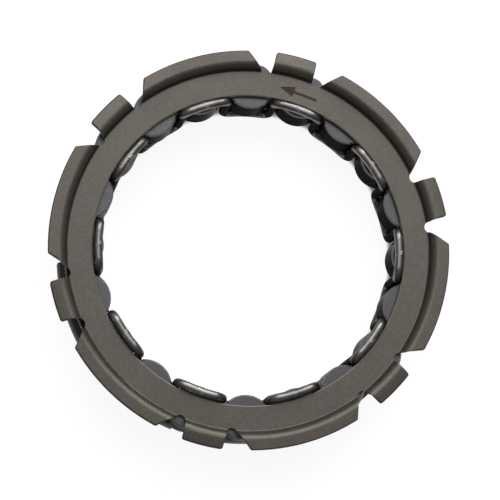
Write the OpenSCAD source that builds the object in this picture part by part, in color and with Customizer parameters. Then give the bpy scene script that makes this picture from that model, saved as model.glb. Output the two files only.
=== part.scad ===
// One-way starter clutch: twenty wedging sprags held between two pressed plates by one zigzag wire.
// The clutch axis is Z, the flange and its arrow face +Z, and the rear lugs stand on Z = 0.

/* [Races] */
// Diameter of the hub that runs inside the sprags
inner_race_d = 54.76; // [54.6:0.02:54.9]
// Radial space between the hub and the bore that the cage drops into
race_gap = 8.33; // [8.2:0.01:8.45]
// How far the unloaded sprags reach past each race
free_reach = 0.09; // [0.05:0.01:0.15]
// Radial room between the cage and the outer bore
cage_clear = 0.21; // [0.15:0.01:0.3]

/* [Plates] */
// How far the short flange tabs reach past the outer bore
flange_reach = 2.39; // [2.1:0.01:2.8]
// How much less the long tabs reach, on the radius
long_tab_trim = 0.2; // [0.1:0.05:0.4]
// Radial room between the hub and the plates' bores
hub_clear = 2.07; // [2:0.01:2.2]
// Sheet thickness of both plates
sheet_t = 1; // [0.8:0.05:1.1]
// Inside radius of the bend from the rear ring to the lugs
lug_bend_r = 0.25; // [0.2:0.05:0.4]
// Inside radius of the bend from the front ring up to the flange
ring_bend_r = 0.3; // [0.2:0.05:0.4]
// Inside radius of the bend that turns out into the flange
flange_bend_r = 0.6; // [0.4:0.05:0.8]
// Straight height of the wall between those two bends
joggle_wall = 0.05; // [0.05:0.05:0.4]
// How much less the wall under the flange reaches than the lugs, on the radius
joggle_trim = 0.1; // [0:0.05:0.2]
// Rounding of the plates' bore edges
bore_edge_r = 0.25; // [0.1:0.05:0.3]

/* [Flange tabs] */
// Width of a short tab
short_tab_w = 7.8; // [7.4:0.1:8.2]
// Radius of the round bottom of a notch
notch_r = 1.1; // [0.9:0.05:1.2]
// Depth of the notch bottoms inside the cage's outside wall
notch_depth = 1.67; // [1.5:0.01:1.9]
// Angle of a long tab's side from the short tab's centre line
long_tab_side = 49; // [46:1:51]
// Rounding of the tab corners
tab_corner_r = 0.5; // [0.3:0.1:0.8]

/* [Rear lugs] */
// Reach of the lugs behind the rear plate
lug_reach = 3.5; // [2.5:0.1:4.5]
// Width of the slot between two lugs
lug_gap = 4.3; // [3.5:0.1:5]
// Depth of the slot floors inside the cage's outside wall
lug_gap_depth = 2.3; // [1.9:0.1:2.7]
// Rounding of the slot floors' corners
lug_gap_corner_r = 0.8; // [0.4:0.1:1]

/* [Sprags] */
// Length of a sprag along the clutch axis
sprag_len = 8.1; // [7.5:0.1:9]
// Room between a sprag's end and a plate
end_clear = 0.1; // [0.05:0.05:0.2]
// Radius of the cam face on the inner race
inner_cam_r = 5; // [4.8:0.05:5.2]
// Radius of the cam face on the outer race
outer_cam_r = 5.3; // [5.1:0.05:5.5]
// Sideways offset of the outer cam, which makes the sprag wedge
cam_offset = 1; // [0.8:0.05:1.2]
// How much more than half its height a sprag sweeps about its pivot
sprag_bulge = 0.445; // [0.25:0.005:0.5]
// Radius of the hollow waist on both flanks
waist_r = 2.9; // [2.5:0.1:3.2]
// Half of what the waists leave of a sprag's width
waist_half_w = 3.6; // [3.2:0.05:3.8]
// Chamfer round the sprag ends
sprag_chamfer = 0.3; // [0.1:0.05:0.4]
// Turn of the first sprag from the first short tab
sprag_phase = 0.8; // [0:0.1:3]

/* [Springs] */
// Diameter of the zigzag wire
wire_d = 1.7; // [1.5:0.05:1.75]
// Bend radius of the zigzag wire, to its centre
wire_corner_r = 1.8; // [1.5:0.1:2.1]
// How much thinner the wire is drawn round its bends
wire_neck = 0.02; // [0.02:0.01:0.06]
// Room between the zigzag wire and the plate bores
wire_clear = 0.05; // [0.03:0.01:0.1]
// Height of the wire bars' centre over the plates' outer faces
wire_stand = 0.6; // [0.4:0.05:0.7]
// Outside diameter of the garter spring's coil
garter_coil_d = 1.2; // [1:0.05:1.3]
// Room between the garter spring and the sprags' grooves
garter_clear = 0.15; // [0.1:0.05:0.25]
// Radius of the round core that the groove leaves in a sprag
groove_core_r = 1.75; // [1.6:0.05:1.9]

/* [Hidden] */
$fn = 96;

PLATE_COLOUR = [0.44, 0.42, 0.38];
WIRE_COLOUR = [0.78, 0.78, 0.78];
SPRAG_COLOUR = [0.4, 0.4, 0.42];
GARTER_COLOUR = [0.6, 0.6, 0.62];

// Counts, which the names of the pieces follow
sprag_count = 20;
short_tabs = 6;
sprag_pitch = 360 / sprag_count;
tab_pitch = 360 / short_tabs;

// A cutter starts and ends this far outside what it cuts
margin = 1;

// Radii from the clutch axis
inner_tip_r = inner_race_d / 2 - free_reach;
outer_race_r = inner_race_d / 2 + race_gap;
outer_tip_r = outer_race_r + free_reach;
pivot_r = (inner_tip_r + outer_tip_r) / 2;
spigot_r = outer_race_r - cage_clear;
plate_bore_r = inner_race_d / 2 + hub_clear;
lug_bend_start_r = spigot_r - sheet_t - lug_bend_r;
joggle_r = spigot_r - joggle_trim;
joggle_start_r = joggle_r - sheet_t - ring_bend_r;
flange_start_r = joggle_r + flange_bend_r;
flange_r = outer_race_r + flange_reach;
long_tab_r = flange_r - long_tab_trim;
wire_leg_r = plate_bore_r - wire_clear - wire_d / 2;
wire_bar_r = sqrt(pow(wire_leg_r, 2) - pow(wire_corner_r, 2));
garter_r = pivot_r + groove_core_r + garter_clear + garter_coil_d / 2;

// Heights from the lug ends up
rear_ring_z = lug_reach;
sprag_z = rear_ring_z + sheet_t + end_clear;
sprag_mid_z = sprag_z + sprag_len / 2;
front_ring_z = sprag_z + sprag_len + end_clear;
ring_face_z = front_ring_z + sheet_t;
joggle_z = ring_face_z + ring_bend_r;
flange_z = joggle_z + joggle_wall + flange_bend_r;
flange_face_z = flange_z + sheet_t;
front_bar_z = ring_face_z + wire_stand;
rear_bar_z = rear_ring_z - wire_stand;

// The sprag's reach about its pivot, and the centres of its cam faces and waists
sprag_sweep_r = (outer_tip_r - inner_tip_r) / 2 + sprag_bulge;
inner_cam_x = inner_tip_r + inner_cam_r;
outer_cam_x = outer_tip_r - outer_cam_r;
waist_y = waist_half_w + waist_r;
groove_w = garter_coil_d + 2 * garter_clear;

// Half the turn of a wire bar, which leaves room for its two corners
bar_half_turn = sprag_pitch / 2 - atan(wire_corner_r / wire_bar_r);

// The straight wire runs this far into its thinner bends
wire_lap = 0.05;
lapped_half_turn = bar_half_turn + atan(wire_lap / wire_bar_r);

// One notch of the flange, beside the short tab that points along X
tab_half_w = short_tab_w / 2;
notch_y = tab_half_w + notch_r;
notch_floor_r = spigot_r - notch_depth;
notch_x = sqrt(pow(notch_floor_r + notch_r, 2) - pow(notch_y, 2));
notch_centre = [notch_x, notch_y];
short_side_along = [1, 0];
short_side_in = [0, -1];
long_side_along = [cos(long_tab_side), sin(long_tab_side)];
long_side_in = [-sin(long_tab_side), cos(long_tab_side)];
short_side_start = notch_centre + notch_r * short_side_in;
long_side_start = notch_centre + notch_r * long_side_in;
notch_reach = (flange_r + margin - notch_x) / cos(long_tab_side);

function sprag_turn(i) = sprag_phase + (i - 1) * sprag_pitch;
function sprag_name(i) = str("sprag_", i < 10 ? "0" : "", i);

// Centre of the rounding between a tab's side and the rim
function corner_centre(start, along, inward, rim_r) =
    let (
        line = start + tab_corner_r * inward,
        b = line * along,
        s = sqrt(b * b - line * line + pow(rim_r - tab_corner_r, 2)) - b
    )
    line + s * along;

// Half-section of a quarter bend of that inside radius, from +X round to +Y
module bend_section(inside_r) {
    intersection() {
        difference() {
            circle(r = inside_r + sheet_t);
            circle(r = inside_r);
        }
        square(inside_r + sheet_t);
    }
}

// Half-section of a plate's flat ring out to end_r, with the upper bore edge rounded
module ring_section(end_r) {
    difference() {
        translate([plate_bore_r, 0])
            square([end_r - plate_bore_r, sheet_t]);
        translate([plate_bore_r + bore_edge_r, sheet_t - bore_edge_r])
            difference() {
                translate([-bore_edge_r - margin, 0])
                    square([bore_edge_r + margin, bore_edge_r + margin]);
                circle(r = bore_edge_r);
            }
    }
}

// Half-section of the front plate: ring, joggle and flange
module front_section() {
    translate([0, front_ring_z])
        ring_section(joggle_start_r);
    translate([joggle_start_r, joggle_z])
        mirror([0, 1])
            bend_section(ring_bend_r);
    translate([joggle_r - sheet_t, joggle_z])
        square([sheet_t, joggle_wall]);
    translate([flange_start_r, joggle_z + joggle_wall])
        mirror([1, 0])
            bend_section(flange_bend_r);
    translate([flange_start_r, flange_z])
        square([flange_r - flange_start_r, sheet_t]);
}

// Half-section of the rear plate: ring, bend and the wall that becomes the lugs
module rear_section() {
    translate([0, rear_ring_z + sheet_t])
        mirror([0, 1])
            ring_section(lug_bend_start_r);
    translate([lug_bend_start_r, rear_ring_z - lug_bend_r])
        bend_section(lug_bend_r);
    translate([spigot_r - sheet_t, 0])
        square([sheet_t, rear_ring_z - lug_bend_r]);
}

// Outline of one notch: a round bottom, one side along the short tab, one slanted
module notch_outline() {
    translate(notch_centre)
        circle(r = notch_r);
    polygon([
        short_side_start,
        short_side_start + notch_reach * short_side_along,
        long_side_start + notch_reach * long_side_along,
        long_side_start
    ]);
}

// What the rounding takes off the corner between a tab's side and the rim
module corner_outline(start, along, inward, rim_r) {
    centre = corner_centre(start, along, inward, rim_r);
    outward = centre / norm(centre);
    difference() {
        polygon([
            centre,
            centre - tab_corner_r * inward,
            centre + 1.5 * tab_corner_r * (outward - inward),
            centre + tab_corner_r * outward
        ]);
        translate(centre)
            circle(r = tab_corner_r);
    }
}

// Outline of what the long tab's shorter reach takes off the rim
module long_tab_outline() {
    half_turn = tab_pitch / 3;
    reach = (flange_r + margin) / cos(half_turn);
    difference() {
        polygon([
            [0, 0],
            reach * [cos(half_turn), -sin(half_turn)],
            reach * [cos(half_turn), sin(half_turn)]
        ]);
        circle(r = long_tab_r);
    }
}

// Everything cut from the flange between one short tab and the next
module tab_outline() {
    for (side = [0, 1])
        mirror([0, side]) {
            notch_outline();
            corner_outline(short_side_start, short_side_along, short_side_in, flange_r);
            corner_outline(long_side_start, long_side_along, long_side_in, long_tab_r);
        }
    rotate(tab_pitch / 2)
        long_tab_outline();
}

// Outline of one slot between two lugs, with rounded floor corners
module lug_gap_outline() {
    floor_half = lug_gap / 2 - lug_gap_corner_r;
    floor_x = spigot_r - lug_gap_depth;
    side_x = floor_x + lug_gap_corner_r;
    translate([floor_x, -floor_half])
        square([lug_gap_depth + margin, 2 * floor_half]);
    translate([side_x, -lug_gap / 2])
        square([spigot_r + margin - side_x, lug_gap]);
    for (side = [-1, 1])
        translate([side_x, side * floor_half])
            circle(r = lug_gap_corner_r);
}

// Cylinder with chamfered ends, standing on Z = 0
module chamfered_rod(r) {
    rotate_extrude()
        polygon([
            [0, 0],
            [r - sprag_chamfer, 0],
            [r, sprag_chamfer],
            [r, sprag_len - sprag_chamfer],
            [r - sprag_chamfer, sprag_len],
            [0, sprag_len]
        ]);
}

// The two cam faces joined inside the circle that the sprag may sweep
module sprag_blank() {
    intersection() {
        translate([outer_cam_x, -cam_offset, 0])
            chamfered_rod(outer_cam_r);
        translate([pivot_r, 0, 0])
            chamfered_rod(sprag_sweep_r);
        union() {
            translate([inner_cam_x, 0, 0])
                chamfered_rod(inner_cam_r);
            translate([inner_cam_x, -sprag_sweep_r, 0])
                cube([2 * sprag_sweep_r, 2 * sprag_sweep_r, sprag_len]);
        }
    }
}

// Groove for the garter spring, which leaves a round core about the pivot
module garter_groove() {
    translate([pivot_r, 0, sprag_len / 2 - groove_w / 2])
        difference() {
            translate([0, -sprag_sweep_r - margin, 0])
                cube([sprag_sweep_r + margin, 2 * (sprag_sweep_r + margin), groove_w]);
            translate([0, 0, -margin])
                cylinder(r = groove_core_r, h = groove_w + 2 * margin);
        }
}

// One sprag, lying on the X side of the clutch axis
module sprag_body() {
    translate([0, 0, sprag_z])
        difference() {
            sprag_blank();
            for (side = [-1, 1])
                translate([pivot_r, side * waist_y, -margin])
                    cylinder(r = waist_r, h = sprag_len + 2 * margin);
            garter_groove();
        }
}

// Corner from the end of a front bar down to the leg beside it
module wire_corner() {
    rotate([0, -90, 0])
        rotate_extrude(angle = 90)
            translate([wire_corner_r, 0])
                circle(d = wire_d - wire_neck);
}

// A bar with its two corners, centred on the X axis with the corners turned down
module wire_bar() {
    rotate([0, 0, -lapped_half_turn])
        rotate_extrude(angle = 2 * lapped_half_turn)
            translate([wire_bar_r, 0])
                circle(d = wire_d);
    for (side = [0, 1])
        mirror([0, side, 0])
            rotate([0, 0, bar_half_turn])
                translate([wire_bar_r, 0, -wire_corner_r])
                    wire_corner();
}

module rear_plate() {
    color(PLATE_COLOUR)
        difference() {
            rotate_extrude()
                rear_section();
            for (i = [2 : 2 : sprag_count])
                rotate([0, 0, sprag_turn(i)])
                    translate([0, 0, -margin])
                        linear_extrude(sprag_z + margin)
                            lug_gap_outline();
        }
}

module front_plate() {
    color(PLATE_COLOUR)
        difference() {
            rotate_extrude()
                front_section();
            for (i = [0 : short_tabs - 1])
                rotate([0, 0, i * tab_pitch])
                    translate([0, 0, front_ring_z - margin])
                        linear_extrude(flange_face_z - front_ring_z + 2 * margin)
                            tab_outline();
        }
}

module separator_wire() {
    leg_foot_z = rear_bar_z + wire_corner_r - wire_lap;
    leg_head_z = front_bar_z - wire_corner_r + wire_lap;
    color(WIRE_COLOUR) {
        for (i = [2 : 2 : sprag_count])
            rotate([0, 0, sprag_turn(i)])
                translate([0, 0, front_bar_z])
                    wire_bar();
        for (i = [1 : 2 : sprag_count])
            rotate([0, 0, sprag_turn(i)])
                translate([0, 0, rear_bar_z])
                    mirror([0, 0, 1])
                        wire_bar();
        for (i = [1 : sprag_count])
            rotate([0, 0, sprag_turn(i) + sprag_pitch / 2])
                translate([wire_leg_r, 0, leg_foot_z])
                    cylinder(d = wire_d, h = leg_head_z - leg_foot_z);
    }
}

module garter_spring() {
    color(GARTER_COLOUR)
        translate([0, 0, sprag_mid_z])
            rotate_extrude()
                translate([garter_r, 0])
                    circle(d = garter_coil_d);
}

module sprag(i) {
    color(SPRAG_COLOUR)
        rotate([0, 0, sprag_turn(i)])
            sprag_body();
}

rear_plate();
front_plate();
separator_wire();
garter_spring();
for (i = [1 : sprag_count])
    sprag(i);
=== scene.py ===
import math
import random

import bmesh
import bpy
from mathutils import Matrix, Vector


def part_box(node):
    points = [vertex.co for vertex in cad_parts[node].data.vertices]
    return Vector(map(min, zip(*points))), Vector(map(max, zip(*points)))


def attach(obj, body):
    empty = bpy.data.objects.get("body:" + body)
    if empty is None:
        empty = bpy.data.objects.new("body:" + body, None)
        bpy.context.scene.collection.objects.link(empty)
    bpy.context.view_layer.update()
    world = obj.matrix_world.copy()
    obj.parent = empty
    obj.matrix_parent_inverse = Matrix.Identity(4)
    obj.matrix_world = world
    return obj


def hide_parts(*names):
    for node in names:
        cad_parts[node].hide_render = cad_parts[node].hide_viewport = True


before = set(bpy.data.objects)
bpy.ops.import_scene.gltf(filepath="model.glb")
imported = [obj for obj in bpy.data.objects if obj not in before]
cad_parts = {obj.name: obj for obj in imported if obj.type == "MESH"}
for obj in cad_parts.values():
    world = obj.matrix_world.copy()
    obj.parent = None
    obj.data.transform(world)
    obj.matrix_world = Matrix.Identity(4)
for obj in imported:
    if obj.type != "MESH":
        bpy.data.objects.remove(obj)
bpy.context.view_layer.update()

# Rear plate. A ring of pressed sheet steel whose wall is slotted into ten lugs. It leaves the
# tumbling drum satin and warm grey like the front plate, but its colour is pulled most of the way
# to dark grey as painted shade, as it lies behind the front plate. The zigzag wire holds it on.
PLATE_WARM_GREY = (0.120, 0.110, 0.098, 1)
# The olive is lighter than the warm grey as painted light on that side of the plate.
PLATE_OLIVE_PAINTED_LIGHTER = (0.138, 0.127, 0.109, 1)
PLATE_MOSS = (0.125, 0.121, 0.089, 1)
PLATE_RUSSET = (0.142, 0.120, 0.108, 1)
PLATE_PALE_SPECK = (0.21, 0.20, 0.185, 1)
# Painted highlight on the rounded bore edge of the plate.
BORE_EDGE_HIGHLIGHT = (0.30, 0.28, 0.23, 1)
# Dark grey for the tabs' outward sheared walls, partly their own matt finish and partly painted shade; the
# rear plate's painted shade mixes towards it too.
SHEARED_WALL_AND_SHADE_DARK = (0.045, 0.043, 0.040, 1)
MOSS_SHARE = 0.8
RUSSET_SHARE = 0.7
SPECK_SHARE = 0.28
BORE_HIGHLIGHT_SHARE = 0.8
PLATE_METAL = 0.7
PLATE_ROUGHNESS = 0.38
SHEARED_ROUGHER = 0.35
PLATE_SPAN = 0.082
PLATE_LEAN = 0.4
SIDE_DRIFT_RANGE = (-0.1, 0.95)
BLOTCH = 0.012
BLOTCH_SWAY = 0.9
MOTTLE = 0.0055
MOTTLE_EDGE = (0.42, 0.62)
RUSSET_SHIFT = (0.05, 0.02, 0.01)
TUMBLE_SPOT = 0.0005
TUMBLE_PIT = TUMBLE_SPOT * 0.3
TUMBLE_DEPTH = 0.00004
SPECK_EDGE = (0.40, 0.68)
BORE_EDGE_REACH = (0.0326, 0.0329)
BORE_EDGE_TILT = (0.15, 0.5)
LEVEL_TILT = (0.93, 0.99)
TAB_WALL_REACH = (0.0360, 0.0364)
TAB_WALL_OUTWARD = (-0.012, -0.004)
SLANT_TILT = (0.86, 0.975)
REAR_GRAZING = 0.08
# Painted shade: how far the rear plate's whole colour is pulled to dark grey.
REAR_PAINTED_SHADE = 0.7


class Value:
    """One socket of a node tree. Sums and products with others and with numbers add Math nodes."""

    def __init__(self, tree, socket=None):
        self.tree = tree
        self.socket = socket

    def node(self, kind, settings=None, links=None, out=0):
        made = self.tree.nodes.new(kind)
        for name, setting in (settings or {}).items():
            setattr(made, name, setting)
        for name, value in (links or {}).items():
            if isinstance(value, Value):
                self.tree.links.new(value.socket, made.inputs[name])
            else:
                made.inputs[name].default_value = value
        return Value(self.tree, made.outputs[out] if len(made.outputs) else None)

    def out(self, name):
        """Another output of the node that this value comes from."""
        return Value(self.tree, self.socket.node.outputs[name])

    def maths(self, operation, *terms):
        return self.node("ShaderNodeMath", {"operation": operation}, dict(enumerate(terms)))

    def __add__(self, other):
        return self.maths("ADD", self, other)

    def __sub__(self, other):
        return self.maths("SUBTRACT", self, other)

    def __rsub__(self, other):
        return self.maths("SUBTRACT", other, self)

    def __mul__(self, other):
        return self.maths("MULTIPLY", self, other)

    def __truediv__(self, other):
        return self.maths("DIVIDE", self, other)

    __radd__ = __add__
    __rmul__ = __mul__

    def step(self, low, high):
        """0 below low, 1 above high, and smooth between them."""
        settings = {"interpolation_type": "SMOOTHSTEP"}
        return self.node("ShaderNodeMapRange", settings, {"Value": self, "From Min": low, "From Max": high})

    def between(self, colour_a, colour_b):
        """Colour a where this value is 0, colour b where it is 1."""
        return self.node("ShaderNodeMix", {"data_type": "RGBA"}, {0: self, 6: colour_a, 7: colour_b}, out=2)

    def grain(self, size, detail=3.0):
        """Noise over this place, with spots about that many metres across, from 0 to 1."""
        return self.node("ShaderNodeTexNoise", {}, {"Vector": self, "Scale": 1 / size, "Detail": detail})

    def reach(self):
        """How far this place is from the origin, on the axis level with the lugs' ends."""
        return self.node("ShaderNodeVectorMath", {"operation": "LENGTH"}, {0: self}).out("Value")


def new_steel(name, grazing):
    """A steel finish to fill in: the material, its shader's node and the place on the piece.
    Grazing, from 0 to 1, is how far it brightens where it is seen edge on."""
    steel = bpy.data.materials.new(name)
    steel.use_nodes = True
    shader = steel.node_tree.nodes["Principled BSDF"]
    shader.inputs["Metallic"].default_value = 1.0
    shader.inputs["Specular Tint"].default_value = (grazing, grazing, grazing, 1)
    place = Value(steel.node_tree).node("ShaderNodeTexCoord").out("Object")
    return steel, shader, place


def feed(shader, socket, value):
    shader.id_data.links.new(value.socket, shader.inputs[socket])


def roughen(shader, height, strength, depth):
    """Fine relief from a height between 0 and 1."""
    bump = height.node("ShaderNodeBump", {}, {"Height": height, "Strength": strength, "Distance": depth})
    feed(shader, "Normal", bump)


def plate_finish(name, grazing, painted_shade):
    """Tumbled sheet steel: grey to an olive that is lighter as painted light, with moss and russet
    patches, a fine pale grain, a painted highlight on the bore edge and matt sheared walls on the tabs
    that are dark partly as painted shade. The last argument, from 0 to 1, is painted shade over the
    whole plate."""
    steel, shader, place = new_steel(name, grazing)
    blotch = place.grain(BLOTCH, 2.0)
    spot = place.grain(TUMBLE_SPOT, 4.0)
    pit = place.grain(TUMBLE_PIT, 2.0)
    moss = place.grain(MOTTLE, 4.0).step(*MOTTLE_EDGE)
    shifted = place.node("ShaderNodeMapping", {}, {"Vector": place, "Location": RUSSET_SHIFT})
    russet = shifted.grain(MOTTLE, 4.0).step(*MOTTLE_EDGE)
    across = place.node("ShaderNodeSeparateXYZ", {}, {0: place})
    # Across the plate the colour drifts from olive towards minus Y to warm grey towards plus Y, with blotchy
    # edges; the olive side is also lighter, which is painted light.
    side = (across.out("X") * PLATE_LEAN + across.out("Y")) / PLATE_SPAN + 0.5
    side_drift_and_light = (side + (blotch - 0.5) * BLOTCH_SWAY).step(*SIDE_DRIFT_RANGE)
    facing = place.node("ShaderNodeSeparateXYZ", {}, {0: place.out("Normal")})
    up = facing.out("Z")
    outward = facing.out("X") * across.out("X") + facing.out("Y") * across.out("Y")
    outside = place.reach().step(*TAB_WALL_REACH) * outward.step(*TAB_WALL_OUTWARD)
    # The tabs' outward sheared walls: matt, and dark partly as painted shade.
    sheared = (1 - place.maths("ABSOLUTE", up).step(*SLANT_TILT)) * outside
    # Painted highlight where the bore edge rounds over.
    inside = 1 - place.reach().step(*BORE_EDGE_REACH)
    bore_highlight = up.step(*BORE_EDGE_TILT) * (1 - up.step(*LEVEL_TILT)) * inside
    colour = side_drift_and_light.between(PLATE_OLIVE_PAINTED_LIGHTER, PLATE_WARM_GREY)
    colour = (moss * MOSS_SHARE).between(colour, PLATE_MOSS)
    colour = (russet * RUSSET_SHARE).between(colour, PLATE_RUSSET)
    colour = (spot.step(*SPECK_EDGE) * SPECK_SHARE).between(colour, PLATE_PALE_SPECK)
    colour = (bore_highlight * BORE_HIGHLIGHT_SHARE).between(colour, BORE_EDGE_HIGHLIGHT)
    colour = sheared.between(colour, SHEARED_WALL_AND_SHADE_DARK)
    # Painted shade pulls the whole colour towards the dark grey.
    painted_shade_mix = {0: painted_shade, 6: colour, 7: SHEARED_WALL_AND_SHADE_DARK}
    feed(shader, "Base Color", place.node("ShaderNodeMix", {"data_type": "RGBA"}, painted_shade_mix, out=2))
    feed(shader, "Metallic", PLATE_METAL - sheared * PLATE_METAL)
    dullness = PLATE_ROUGHNESS + (spot - 0.5) * 0.14 + (blotch - 0.5) * 0.12
    feed(shader, "Roughness", dullness + sheared * SHEARED_ROUGHER)
    roughen(shader, spot * 0.6 + pit * 0.4, 0.10, TUMBLE_DEPTH)
    return steel


rear_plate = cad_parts["rear_plate"]
rear_plate.data.materials.clear()
rear_plate.data.materials.append(plate_finish("shaded_plate_steel", REAR_GRAZING, REAR_PAINTED_SHADE))

# Sprags. Twenty wedges of hardened bearing steel with ground ends and burnished cam faces. Each
# one stands free between the two plates and rocks as the clutch grips.
SPRAG_END_GREY = (0.116, 0.115, 0.119, 1)
SPRAG_END_SCRATCH = (0.18, 0.18, 0.185, 1)
# Painted highlight colour for the sprags' chamfers.
SPRAG_RIM_HIGHLIGHT = (0.75, 0.75, 0.76, 1)
SPRAG_FLANK_DARK = (0.145, 0.143, 0.155, 1)
SPRAG_FLANK_RUB = (0.18, 0.18, 0.185, 1)
SPRAG_GRAZING = 0.12
SPRAG_ROUGHNESS = 0.27
END_ROUGHER = 0.12
SPRAG_SPOT = 0.0009
SPRAG_DEPTH = 0.00003
GRIND_LINE = 0.00012
GRIND_STRETCH = 9
GRIND_TURN = 0.6
RUB_MARK = 0.0016
RUB_STRETCH = 8
SCRATCH_SHARE = 0.5
RUB_SHARE = 0.35
END_TILT = (0.90, 0.97)
CHAMFER_TILT = (0.35, 0.6)
OUTER_RIM_REACH = (0.033, 0.0345)
OUTER_HIGHLIGHT_FADE = 0.9


def sprag_finish(name):
    """Hardened steel: ground ends with fine lines, a painted highlight on the chamfers that fades out
    away from the bore, and dark flanks rubbed by the races."""
    steel, shader, place = new_steel(name, SPRAG_GRAZING)
    up = place.node("ShaderNodeSeparateXYZ", {}, {0: place.out("Normal")}).out("Z")
    tilt = place.maths("ABSOLUTE", up)
    end_face = tilt.step(*END_TILT)
    # The painted highlight on the chamfers fades out towards the outer race.
    highlight_towards_bore = 1 - place.reach().step(*OUTER_RIM_REACH) * OUTER_HIGHLIGHT_FADE
    chamfer_highlight = tilt.step(*CHAMFER_TILT) * (1 - end_face) * highlight_towards_bore
    spot = place.grain(SPRAG_SPOT, 3.0)
    stretch = {"Vector": place, "Rotation": (0, 0, GRIND_TURN), "Scale": (1, GRIND_STRETCH, 1)}
    ground = place.node("ShaderNodeMapping", {}, stretch).grain(GRIND_LINE * GRIND_STRETCH, 2.0)
    rings = place.node("ShaderNodeMapping", {}, {"Vector": place, "Scale": (1, 1, RUB_STRETCH)})
    rub = rings.grain(RUB_MARK, 4.0)
    colour = end_face.between(SPRAG_FLANK_DARK, SPRAG_END_GREY)
    colour = (end_face * ground.step(0.45, 0.8) * SCRATCH_SHARE).between(colour, SPRAG_END_SCRATCH)
    colour = (rub.step(0.55, 0.8) * (1 - end_face) * RUB_SHARE).between(colour, SPRAG_FLANK_RUB)
    feed(shader, "Base Color", chamfer_highlight.between(colour, SPRAG_RIM_HIGHLIGHT))
    dullness = SPRAG_ROUGHNESS + (rub - 0.5) * 0.16
    feed(shader, "Roughness", dullness + end_face * (END_ROUGHER + (spot - 0.5) * 0.1))
    roughen(shader, ground * end_face + spot * 0.3, 0.06, SPRAG_DEPTH)
    return steel


sprag_steel = sprag_finish("burnished_sprag_steel")
for name in sorted(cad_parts):
    if name.startswith("sprag_"):
        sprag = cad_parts[name]
        sprag.data.materials.clear()
        sprag.data.materials.append(sprag_steel)

# Garter spring. One fine round wire, close coiled and hooked into a ring, lies in the grooves of
# all the sprags and leans them against both races. Its turns follow the ring of the CAD solid.
low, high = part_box("garter_spring")
GARTER_ROOM = 0.00002
GARTER_WIRE_D = 0.00032
GARTER_COIL_D = high.z - low.z - GARTER_ROOM
GARTER_RING_R = (high.x - low.x - (high.z - low.z)) / 2
GARTER_TURNS = 500
POINTS_A_TURN = 12
WIRE_SIDES = 6
GARTER_DULL = (0.15, 0.15, 0.155, 1)
GARTER_PALE = (0.27, 0.27, 0.28, 1)
GARTER_GRAZING = 0.2
GARTER_ROUGHNESS = 0.30
GARTER_SPOT = 0.0004


def new_tree(name, sizes):
    """A Geometry Nodes tree with named inputs. Gives the tree, its inputs' value and their keys."""
    tree = bpy.data.node_groups.new(name, "GeometryNodeTree")
    keys = {}
    for size, value in sizes.items():
        kind = "NodeSocketInt" if isinstance(value, int) else "NodeSocketFloat"
        keys[size] = tree.interface.new_socket(size, in_out="INPUT", socket_type=kind).identifier
    tree.interface.new_socket("Geometry", in_out="OUTPUT", socket_type="NodeSocketGeometry")
    return tree, Value(tree).node("NodeGroupInput"), keys


def grow(name, shape, steel, keys, sizes):
    """Ends the tree of this shape, and gives the plain mesh piece that it makes with these sizes."""
    shape = shape.node("GeometryNodeRealizeInstances", {}, {"Geometry": shape})
    shape = shape.node("GeometryNodeSetMaterial", {}, {"Geometry": shape, "Material": steel})
    shape.node("NodeGroupOutput", {}, {"Geometry": shape})
    seed = bpy.data.objects.new(name + "_seed", bpy.data.meshes.new(name + "_seed"))
    bpy.context.scene.collection.objects.link(seed)
    maker = seed.modifiers.new("maker", "NODES")
    maker.node_group = shape.tree
    for size, value in sizes.items():
        maker[keys[size]] = value
    ready = seed.evaluated_get(bpy.context.evaluated_depsgraph_get())
    piece = bpy.data.objects.new(name, bpy.data.meshes.new_from_object(ready))
    bpy.context.scene.collection.objects.link(piece)
    seed.modifiers.remove(maker)
    bpy.data.objects.remove(seed)
    return piece


def points_on(count, place):
    """A line of that many mesh points, each moved to its own place."""
    line = place.node("GeometryNodeMeshLine", {}, {"Count": count, "Offset": (0, 0, 0)})
    return line.node("GeometryNodeSetPosition", {}, {"Geometry": line, "Position": place})


def swept_tube(line, radius, closed):
    """A smooth round tube of that radius along a line of mesh points."""
    curve = line.node("GeometryNodeMeshToCurve", {}, {"Mesh": line})
    if closed:
        curve = curve.node("GeometryNodeSetSplineCyclic", {}, {"Geometry": curve, "Cyclic": True})
    ring = {"Resolution": WIRE_SIDES, "Radius": radius}
    section = curve.node("GeometryNodeCurvePrimitiveCircle", {}, ring)
    links = {"Curve": curve, "Profile Curve": section, "Fill Caps": not closed}
    tube = curve.node("GeometryNodeCurveToMesh", {}, links)
    return tube.node("GeometryNodeSetShadeSmooth", {}, {"Geometry": tube})


def spring_finish(name):
    """Fine spring wire, grey and a little matt from its lubricant."""
    steel, shader, place = new_steel(name, GARTER_GRAZING)
    spot = place.grain(GARTER_SPOT, 3.0)
    feed(shader, "Base Color", spot.step(0.3, 0.8).between(GARTER_DULL, GARTER_PALE))
    feed(shader, "Roughness", GARTER_ROUGHNESS + (spot - 0.5) * 0.2)
    return steel


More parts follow.
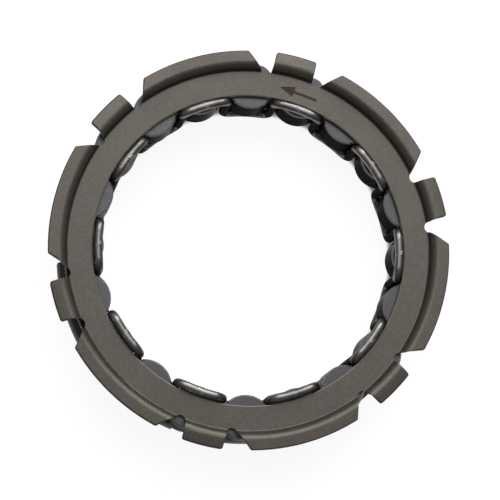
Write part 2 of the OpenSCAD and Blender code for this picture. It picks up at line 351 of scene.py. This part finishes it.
garter_sizes = {
    "Ring radius": GARTER_RING_R,
    "Coil radius": (GARTER_COIL_D - GARTER_WIRE_D) / 2,
    "Wire radius": GARTER_WIRE_D / 2,
    "Height": (low.z + high.z) / 2,
    "Turns": GARTER_TURNS,
}
garter_tree, garter, garter_keys = new_tree("garter coil", garter_sizes)
steps = garter.out("Turns") * POINTS_A_TURN
index = garter.node("GeometryNodeInputIndex")
turn = index * (2 * math.pi) / steps
roll = index * (2 * math.pi / POINTS_A_TURN)
reach = garter.out("Ring radius") + garter.maths("COSINE", roll) * garter.out("Coil radius")
rise = garter.out("Height") + garter.maths("SINE", roll) * garter.out("Coil radius")
x, y = garter.maths("COSINE", turn) * reach, garter.maths("SINE", turn) * reach
point = garter.node("ShaderNodeCombineXYZ", {}, {"X": x, "Y": y, "Z": rise})
coil = swept_tube(points_on(steps, point), garter.out("Wire radius"), closed=True)
garter_coil = grow("garter_coil", coil, spring_finish("fine_spring_steel"), garter_keys, garter_sizes)
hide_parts("garter_spring")
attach(garter_coil, "cage")

# Zigzag wire. One bright round spring wire is bent to and fro over the bores of both plates and
# keeps them together. The bending tool leaves two slanted nip marks on top of each front bar.
WIRE_R = 0.00085
WIRE_PALE = (0.33, 0.32, 0.305, 1)
WIRE_DULL = (0.22, 0.215, 0.21, 1)
# Painted shade for the wire's legs and rear bars.
WIRE_LEG_SHADE = (0.13, 0.13, 0.128, 1)
LEG_TO_BAR_Z = (0.0122, 0.0142)
WIRE_GRAZING = 0.04
WIRE_ROUGHNESS = 0.32
WIRE_CLOUD = 0.0035
WIRE_SPOT = 0.0005
WIRE_DEPTH = 0.00003
# The nip marks' steel is pale partly as metal burnished by the tool and partly as a painted glint.
NIP_GLINT_PALE = (0.80, 0.79, 0.77, 1)
NIP_GLINT_DULL = (0.60, 0.59, 0.57, 1)
BAR_RING_R = 0.028493
FRONT_BAR_Z = 0.0144
BAR_COUNT = 10
FIRST_BAR_TURN = math.radians(18.8)
NIP_WRAP = math.radians(85)
NIP_POINTS = 14


def wire_finish(name, pale, dull):
    """Drawn spring wire: bright with dull clouds and fine draw marks, and darker down its legs and rear bars
    as painted shade.
    """
    steel, shader, place = new_steel(name, WIRE_GRAZING)
    spot = place.grain(WIRE_SPOT, 3.0)
    cloud = place.grain(WIRE_CLOUD, 2.0)
    height = place.node("ShaderNodeSeparateXYZ", {}, {0: place}).out("Z")
    colour = cloud.step(0.3, 0.7).between(dull, pale)
    # Painted shade darkens the wire below the front bars.
    feed(shader, "Base Color", height.step(*LEG_TO_BAR_Z).between(WIRE_LEG_SHADE, colour))
    feed(shader, "Roughness", WIRE_ROUGHNESS + (spot - 0.5) * 0.14 + (cloud - 0.5) * 0.10)
    roughen(shader, spot, 0.06, WIRE_DEPTH)
    return steel


separator_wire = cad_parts["separator_wire"]
separator_wire.data.materials.clear()
separator_wire.data.materials.append(wire_finish("bright_zigzag_wire", WIRE_PALE, WIRE_DULL))

nip_sizes = {
    "Bar ring radius": BAR_RING_R,
    "Bar height": FRONT_BAR_Z,
    "Mark radius": WIRE_R + 0.00001,
    "Mark thickness": 0.0001,
    "Half gap": 0.0002,
    "Slant": 0.0005,
    "Bars": BAR_COUNT,
}
nip_tree, nips, nip_keys = new_tree("nip marks", nip_sizes)
index = nips.node("GeometryNodeInputIndex")
swing = (index / (NIP_POINTS - 1) - 0.5) * NIP_WRAP + math.radians(90)
pair = nips.node("GeometryNodeJoinGeometry")
for side in (-1, 1):
    across = nips.out("Bar ring radius") + nips.maths("COSINE", swing) * nips.out("Mark radius")
    up = nips.out("Bar height") + nips.maths("SINE", swing) * nips.out("Mark radius")
    along = nips.out("Half gap") * side + nips.maths("COSINE", swing) * nips.out("Slant")
    point = nips.node("ShaderNodeCombineXYZ", {}, {"X": across, "Y": along, "Z": up})
    mark = swept_tube(points_on(NIP_POINTS, point), nips.out("Mark thickness"), closed=False)
    nip_tree.links.new(mark.socket, pair.socket.node.inputs[0])
centres = nips.node("GeometryNodeMeshLine", {}, {"Count": nips.out("Bars"), "Offset": (0, 0, 0)})
spin = nips.node("GeometryNodeInputIndex") * (2 * math.pi / BAR_COUNT) + FIRST_BAR_TURN
turned = nips.node("ShaderNodeCombineXYZ", {}, {"Z": spin})
on_bars = {"Points": centres, "Instance": pair, "Rotation": turned}
marks = nips.node("GeometryNodeInstanceOnPoints", {}, on_bars)
# Pale steel for the nip marks, partly burnished and partly a painted glint.
nip_glint_steel = wire_finish("nipped_wire_glint", NIP_GLINT_PALE, NIP_GLINT_DULL)
nip_marks = grow("wire_nip_marks", marks, nip_glint_steel, nip_keys, nip_sizes)
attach(nip_marks, "cage")

# Front plate. The same sheet steel, pressed to a flat ring that steps up to the notched flange.
# The press rounds the flange's outline and rolls the six short tabs a little back towards the
# rear. The long tabs between them lean back much less.
TAB_COUNT = 6
TAB_TURN = 2 * math.pi / TAB_COUNT
TAB_HALF_TURN = math.radians(7)
TAB_MARGIN = 0.0004
ROLL_START = 0.03605
ROLL_DROP = 0.0003
ROLL_CURVE = 1.25
ROLL_LOOPS = 4
TAB_END = 0.0381
LONG_TAB_END = 0.0379
LONG_TAB_DROP = 0.00006
EDGE_ROUND = 0.00024
FLANGE_FACE_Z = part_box("front_plate")[1].z
ON_FACE = 1e-6
SAME_POINT = 2e-7
SAME_FLAT = math.radians(0.3)
RIM_ANGLE = math.radians(60)
SHARP_ANGLE = math.radians(50)
FRONT_GRAZING = 0.7

front_shell = bmesh.new()
front_shell.from_mesh(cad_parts["front_plate"].data)
bmesh.ops.remove_doubles(front_shell, verts=front_shell.verts, dist=SAME_POINT)
bmesh.ops.dissolve_limit(front_shell, angle_limit=SAME_FLAT, verts=front_shell.verts, edges=front_shell.edges)
rims = [e for e in front_shell.edges
        if all(v.co.z > FLANGE_FACE_Z - ON_FACE for v in e.verts) and e.calc_face_angle(0) > RIM_ANGLE]
bmesh.ops.bevel(front_shell, geom=rims, offset=EDGE_ROUND, offset_type="OFFSET", segments=3, profile=0.5,
                affect="EDGES", clamp_overlap=False)


def on_tab(vertex, out):
    """Whether a vertex lies on the short tab that points this way."""
    flat = Vector((vertex.co.x, vertex.co.y, 0))
    return flat.dot(out) > ROLL_START - TAB_MARGIN and flat.angle(out) < TAB_HALF_TURN


for tab in range(TAB_COUNT):
    turn = tab * 2 * math.pi / TAB_COUNT
    out = Vector((math.cos(turn), math.sin(turn), 0))
    for loop in range(ROLL_LOOPS):
        cut = out * (ROLL_START + (TAB_END - ROLL_START) * loop / ROLL_LOOPS)
        faces = [f for f in front_shell.faces if all(on_tab(v, out) for v in f.verts)]
        edges = list(dict.fromkeys(e for f in faces for e in f.edges))
        verts = list(dict.fromkeys(v for f in faces for v in f.verts))
        bmesh.ops.bisect_plane(front_shell, geom=verts + edges + faces, plane_co=cut, plane_no=out)
    for v in front_shell.verts:
        past = Vector((v.co.x, v.co.y, 0)).dot(out) - ROLL_START
        if past > 0 and on_tab(v, out):
            v.co.z -= ROLL_DROP * (past / (TAB_END - ROLL_START)) ** ROLL_CURVE
for v in front_shell.verts:
    past = v.co.xy.length - ROLL_START
    off_tab = abs((math.atan2(v.co.y, v.co.x) + TAB_TURN / 2) % TAB_TURN - TAB_TURN / 2)
    if past > 0 and off_tab > TAB_HALF_TURN:
        v.co.z -= LONG_TAB_DROP * past / (LONG_TAB_END - ROLL_START)
for e in front_shell.edges:
    e.smooth = e.calc_face_angle(0) < SHARP_ANGLE
for f in front_shell.faces:
    f.smooth = True
front_mesh = bpy.data.meshes.new("front_pressing_sharp")
front_shell.to_mesh(front_mesh)
front_shell.free()
front_sharp = bpy.data.objects.new("front_pressing_sharp", front_mesh)
bpy.context.scene.collection.objects.link(front_sharp)
flats = front_sharp.modifiers.new("flat faces", "WEIGHTED_NORMAL")
flats.keep_sharp = True
ready = front_sharp.evaluated_get(bpy.context.evaluated_depsgraph_get())
front_pressing = bpy.data.objects.new("front_pressing", bpy.data.meshes.new_from_object(ready))
bpy.data.objects.remove(front_sharp)
front_pressing.data.materials.clear()
front_pressing.data.materials.append(plate_finish("tumbled_plate_steel", FRONT_GRAZING, painted_shade=0.0))
bpy.context.scene.collection.objects.link(front_pressing)
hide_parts("front_plate")
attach(front_pressing, "cage")

# Direction arrow. A laser darkens the ring's face to a plain brown arrow that shows which way the
# clutch turns. It stands only a hundredth of a millimetre out of the face, with ragged edges.
RING_FACE_Z = 0.0138
ARROW_TAIL_R = 0.0316
ARROW_TIP_R = 0.03195
ARROW_TAIL = math.radians(49.7)
ARROW_TIP = math.radians(63.2)
ARROW_HEAD_LENGTH = 0.0029
ARROW_HEAD_HALF = 0.00105
ARROW_SHAFT_HALF = 0.00026
ARROW_DEPTH = 0.000012
ARROW_EDGE_STEP = 0.00025
ARROW_RAGGED = 0.00002
SCORCH_DARK = (0.064, 0.045, 0.028, 1)
SCORCH_PALE = (0.115, 0.090, 0.064, 1)
SCORCH_SPOT = 0.0004
SCORCH_GRAZING = 0.1
SCORCH_METAL = 0.5
SCORCH_ROUGHNESS = 0.55

tail = Vector((ARROW_TAIL_R * math.cos(ARROW_TAIL), ARROW_TAIL_R * math.sin(ARROW_TAIL), 0))
tip = Vector((ARROW_TIP_R * math.cos(ARROW_TIP), ARROW_TIP_R * math.sin(ARROW_TIP), 0))
ahead = (tip - tail).normalized()
aside = Vector((-ahead.y, ahead.x, 0))
neck = tip - ahead * ARROW_HEAD_LENGTH
outline = [
    tail + aside * ARROW_SHAFT_HALF, tail - aside * ARROW_SHAFT_HALF, neck - aside * ARROW_SHAFT_HALF,
    neck - aside * ARROW_HEAD_HALF, tip, neck + aside * ARROW_HEAD_HALF, neck + aside * ARROW_SHAFT_HALF,
]
shake = random.Random(7)
edge_points = []
for start, end in zip(outline, outline[1:] + outline[:1]):
    count = max(2, round((end - start).length / ARROW_EDGE_STEP))
    for i in range(count):
        wander = Vector((shake.uniform(-1, 1), shake.uniform(-1, 1), 0)) * ARROW_RAGGED
        edge_points.append(start.lerp(end, i / count) + wander)
arrow_shell = bmesh.new()
lower = [arrow_shell.verts.new((p.x, p.y, RING_FACE_Z - ARROW_DEPTH)) for p in edge_points]
base = arrow_shell.faces.new(lower)
raised = bmesh.ops.extrude_face_region(arrow_shell, geom=[base])
for v in (g for g in raised["geom"] if isinstance(g, bmesh.types.BMVert)):
    v.co.z = RING_FACE_Z + ARROW_DEPTH
bmesh.ops.triangulate(arrow_shell, faces=arrow_shell.faces)
bmesh.ops.recalc_face_normals(arrow_shell, faces=arrow_shell.faces)
arrow_mesh = bpy.data.meshes.new("direction_arrow")
arrow_shell.to_mesh(arrow_mesh)
arrow_shell.free()
direction_arrow = bpy.data.objects.new("direction_arrow", arrow_mesh)
bpy.context.scene.collection.objects.link(direction_arrow)
mark_steel, mark_shader, mark_place = new_steel("laser_darkened_steel", SCORCH_GRAZING)
mark_shader.inputs["Metallic"].default_value = SCORCH_METAL
scorch = mark_place.grain(SCORCH_SPOT, 3.0).step(0.3, 0.75)
feed(mark_shader, "Base Color", scorch.between(SCORCH_DARK, SCORCH_PALE))
feed(mark_shader, "Roughness", SCORCH_ROUGHNESS + scorch * 0.15)
arrow_mesh.materials.append(mark_steel)
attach(direction_arrow, "cage")

# Floor and light: a plain white table with a painted shadow in a ring right under the plates, a
# broad soft box overhead, another from the upper right of the photograph, and a pale room that is
# dimmer at the lower left.
FLOOR_REACH = 4.0
FLOOR_SIDES = 64
TABLE_GREY = (0.3, 0.3, 0.3, 1)
TABLE_WHITE = 0.9
# Painted shadow: how much the table's glow drops in the ring under the plates.
UNDER_PAINTED_SHADOW = 0.75
UNDER_CENTRE = (0.00057, 0.00041, 0)
UNDER_INNER_R = (0.0279, 0.0289)
UNDER_OUTER_R = (0.0340, 0.0354)
PHOTO_TURN = 15.8
ROOM_DIM = (0.12, 0.12, 0.12, 1)
ROOM_PALE = (0.33, 0.33, 0.33, 1)
ROOM_PALE_SIDE = math.radians(85 - PHOTO_TURN)
ROOM_ALONG = 0.6
ROOM_UPWARD = 0.8

floor_mesh = bpy.data.meshes.new("table_top")
turns = [2 * math.pi * i / FLOOR_SIDES for i in range(FLOOR_SIDES)]
rim = [(FLOOR_REACH * math.cos(turn), FLOOR_REACH * math.sin(turn), 0) for turn in turns]
floor_mesh.from_pydata(rim, [], [list(range(FLOOR_SIDES))])
floor = bpy.data.objects.new("table_top", floor_mesh)
bpy.context.scene.collection.objects.link(floor)
white = bpy.data.materials.new("white_table")
white.use_nodes = True
white.node_tree.nodes.clear()
rays = Value(white.node_tree).node("ShaderNodeLightPath")
seen = rays.maths("MAXIMUM", rays.out("Is Camera Ray"), rays.out("Is Glossy Ray"))
seen = rays.maths("MAXIMUM", seen, rays.out("Is Transmission Ray"))
matt = rays.node("ShaderNodeBsdfDiffuse", {}, {"Color": TABLE_GREY})
under = {0: rays.node("ShaderNodeTexCoord").out("Object"), 1: UNDER_CENTRE}
away = rays.node("ShaderNodeVectorMath", {"operation": "DISTANCE"}, under).out("Value")
# Painted shadow in a ring under the plates.
painted_shadow = away.step(*UNDER_INNER_R) * (1 - away.step(*UNDER_OUTER_R))
lift = rays.node("ShaderNodeEmission", {}, {"Strength": seen * (TABLE_WHITE - painted_shadow * UNDER_PAINTED_SHADOW)})
lit = rays.node("ShaderNodeAddShader", {}, {0: matt, 1: lift})
rays.node("ShaderNodeOutputMaterial", {}, {"Surface": lit})
floor_mesh.materials.append(white)


def soft_box(name, photo_angle, height_angle, distance, side, radiance):
    """A square lamp that looks at the clutch, placed by its angle in the photograph."""
    lamp = bpy.data.lights.new(name, "AREA")
    lamp.shape = "SQUARE"
    lamp.size = side
    lamp.energy = radiance * math.pi * side * side
    box = bpy.data.objects.new(name, lamp)
    turn, rise = math.radians(photo_angle - PHOTO_TURN), math.radians(height_angle)
    back = Vector((math.cos(turn) * math.cos(rise), math.sin(turn) * math.cos(rise), math.sin(rise)))
    box.location = back * distance + Vector((0, 0, FLANGE_FACE_Z))
    box.rotation_euler = back.to_track_quat("Z", "Y").to_euler()
    bpy.context.scene.collection.objects.link(box)


soft_box("overhead_box", photo_angle=86, height_angle=54, distance=1.0, side=1.0, radiance=1.75)
soft_box("upper_right_box", photo_angle=60, height_angle=30, distance=0.8, side=0.3, radiance=3.0)

room = bpy.data.worlds.new("pale_room")
bpy.context.scene.world = room
room.use_nodes = True
facing = Value(room.node_tree).node("ShaderNodeTexCoord").out("Generated")
lit_way = (math.cos(ROOM_PALE_SIDE) * ROOM_ALONG, math.sin(ROOM_PALE_SIDE) * ROOM_ALONG, ROOM_UPWARD)
towards = {0: facing, 1: lit_way}
lit_side = facing.node("ShaderNodeVectorMath", {"operation": "DOT_PRODUCT"}, towards).out("Value")
sky = lit_side.step(0.0, 1.0).between(ROOM_DIM, ROOM_PALE)
room.node_tree.links.new(sky.socket, room.node_tree.nodes["Background"].inputs["Color"])

# Camera: above the flange and leaning to the lower left of the photograph, with a long lens. The
# small shift only sets the clutch where the photograph has it.
CAMERA_DISTANCE = 0.536
CAMERA_LEAN = math.radians(10.96)
CAMERA_SIDE = math.radians(231.6)
CAMERA_FILM = 36
CAMERA_LENS = 205.9
CAMERA_SHIFT = (-0.0009, -0.004)
camera_data = bpy.data.cameras.new("photo_camera")
camera_data.sensor_width = CAMERA_FILM
camera_data.lens = CAMERA_LENS
camera_data.shift_x, camera_data.shift_y = CAMERA_SHIFT
camera = bpy.data.objects.new("photo_camera", camera_data)
lean = Matrix.Rotation(CAMERA_LEAN, 4, Vector((-math.sin(CAMERA_SIDE), math.cos(CAMERA_SIDE), 0)))
turned = Matrix.Rotation(-math.radians(PHOTO_TURN), 4, "Z") @ lean
target = Matrix.Translation((0, 0, FLANGE_FACE_Z))
camera.matrix_world = target @ turned @ Matrix.Translation((0, 0, CAMERA_DISTANCE))
bpy.context.scene.collection.objects.link(camera)
bpy.context.scene.camera = camera
bpy.context.scene.view_settings.view_transform = "Standard"
